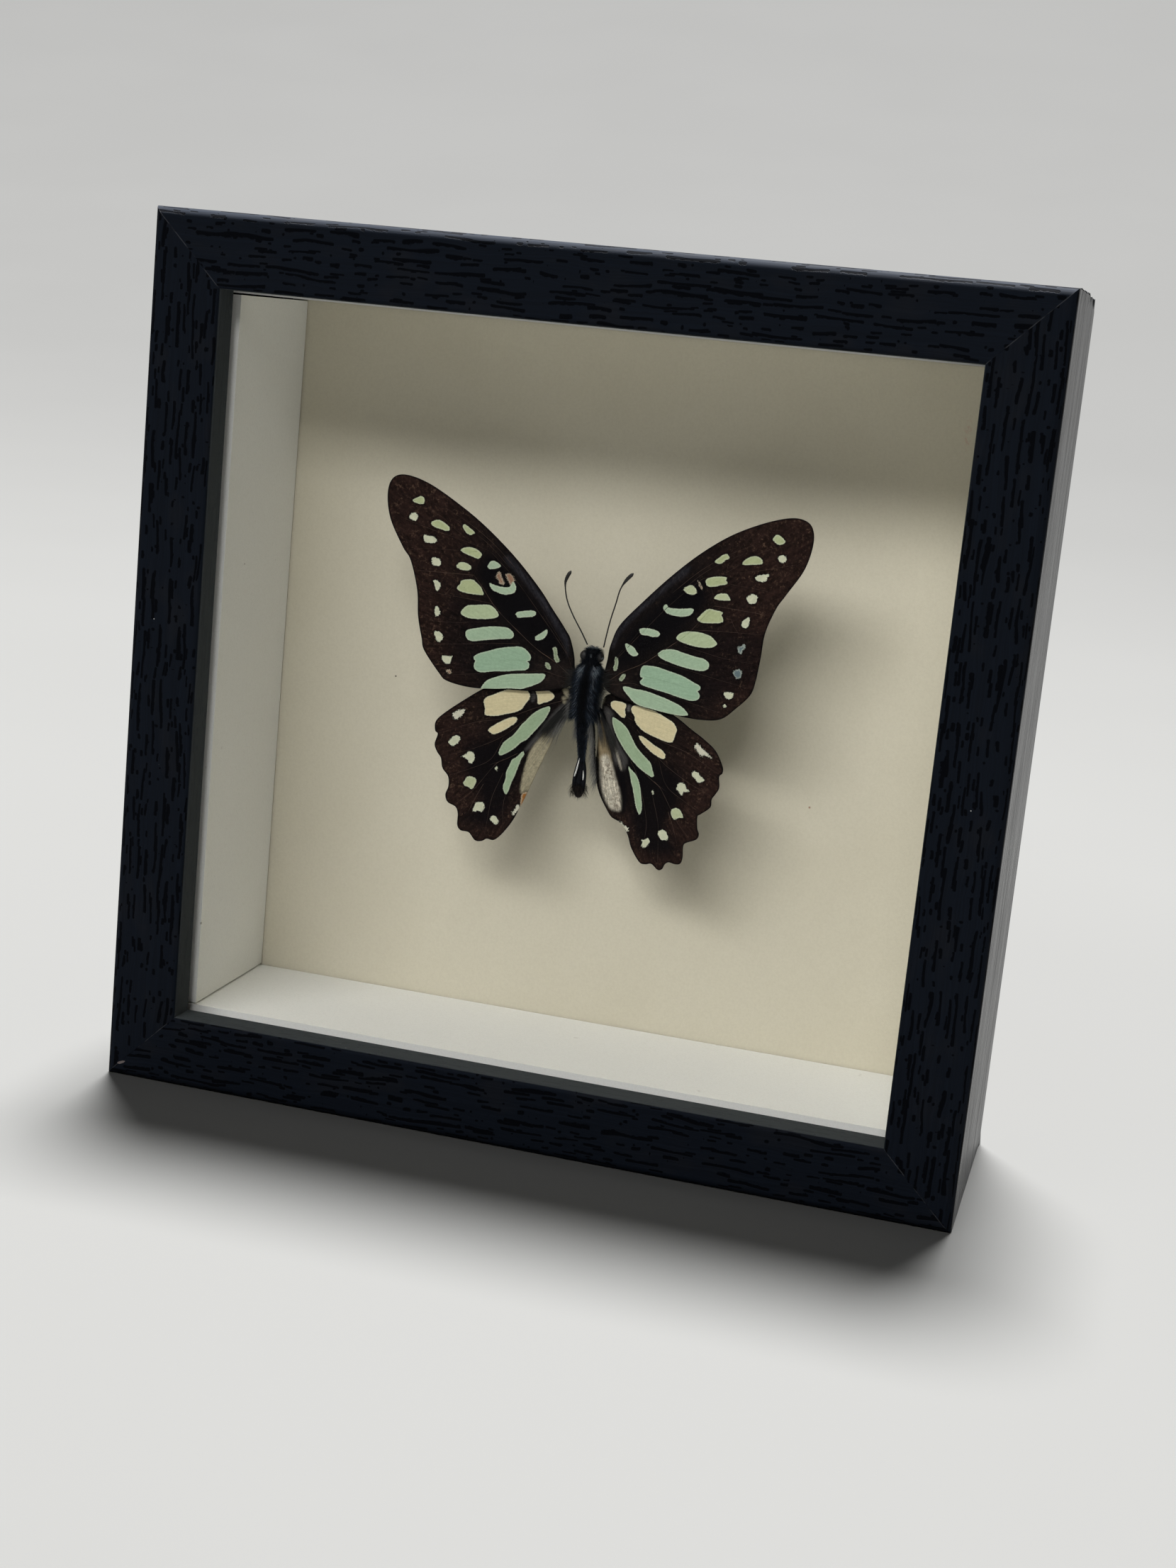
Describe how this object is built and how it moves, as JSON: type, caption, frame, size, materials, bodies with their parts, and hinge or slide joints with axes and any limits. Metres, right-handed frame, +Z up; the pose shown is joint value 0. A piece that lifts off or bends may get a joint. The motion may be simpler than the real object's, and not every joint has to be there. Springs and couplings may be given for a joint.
{
  "type": "framed butterfly specimen",
  "caption": "Dried swallowtail butterfly, dark with mint green spots, pinned clear of a beige card inside a deep square glazed frame wrapped in dark woodgrain foil.",
  "frame": {"origin": "centre of the frame's footprint on the surface it stands on, under the middle of the bottom rail", "axes": "+Z up, the glazed front faces -Y, +X to the right as seen from the front"},
  "size_m": [0.15, 0.047, 0.15],
  "materials": {
    "frame_foil": "satin foil with fine dark open pores along each rail",
    "glass": "clear polished",
    "spacer_card": "matte white",
    "backing_card": "matte beige with a fine paper grain",
    "hardboard": "matte brown fibreboard",
    "tab_steel": "dull bright steel",
    "hanger_steel": "dull yellow zinc",
    "pin_steel": "dark enamelled",
    "wing_scales": "velvety brown-black scales with mint, yellow-green and cream spots",
    "body_fur": "blue-grey hair over a black cuticle",
    "antenna": "satin black cuticle"
  },
  "bodies": {
    "root": {"rail_top": "frame_foil", "rail_bottom": "frame_foil", "rail_left": "frame_foil", "rail_right": "frame_foil", "glass_pane": "glass", "spacer_top": "spacer_card", "spacer_bottom": "spacer_card", "spacer_left": "spacer_card", "spacer_right": "spacer_card", "backing_card": "backing_card", "back_board": "hardboard", "tab_top_1": "tab_steel", "tab_top_2": "tab_steel", "tab_bottom_1": "tab_steel", "tab_bottom_2": "tab_steel", "tab_left_1": "tab_steel", "tab_left_2": "tab_steel", "tab_right_1": "tab_steel", "tab_right_2": "tab_steel", "hanger_plate": "hanger_steel", "hanger_nail_1": "hanger_steel", "hanger_nail_2": "hanger_steel", "mounting_pin": "pin_steel", "forewing_left": "wing_scales", "forewing_right": "wing_scales", "hindwing_left": "wing_scales", "hindwing_right": "wing_scales", "butterfly_body": "body_fur", "antenna_left": "antenna", "antenna_right": "antenna"}
  },
  "joints": []
}
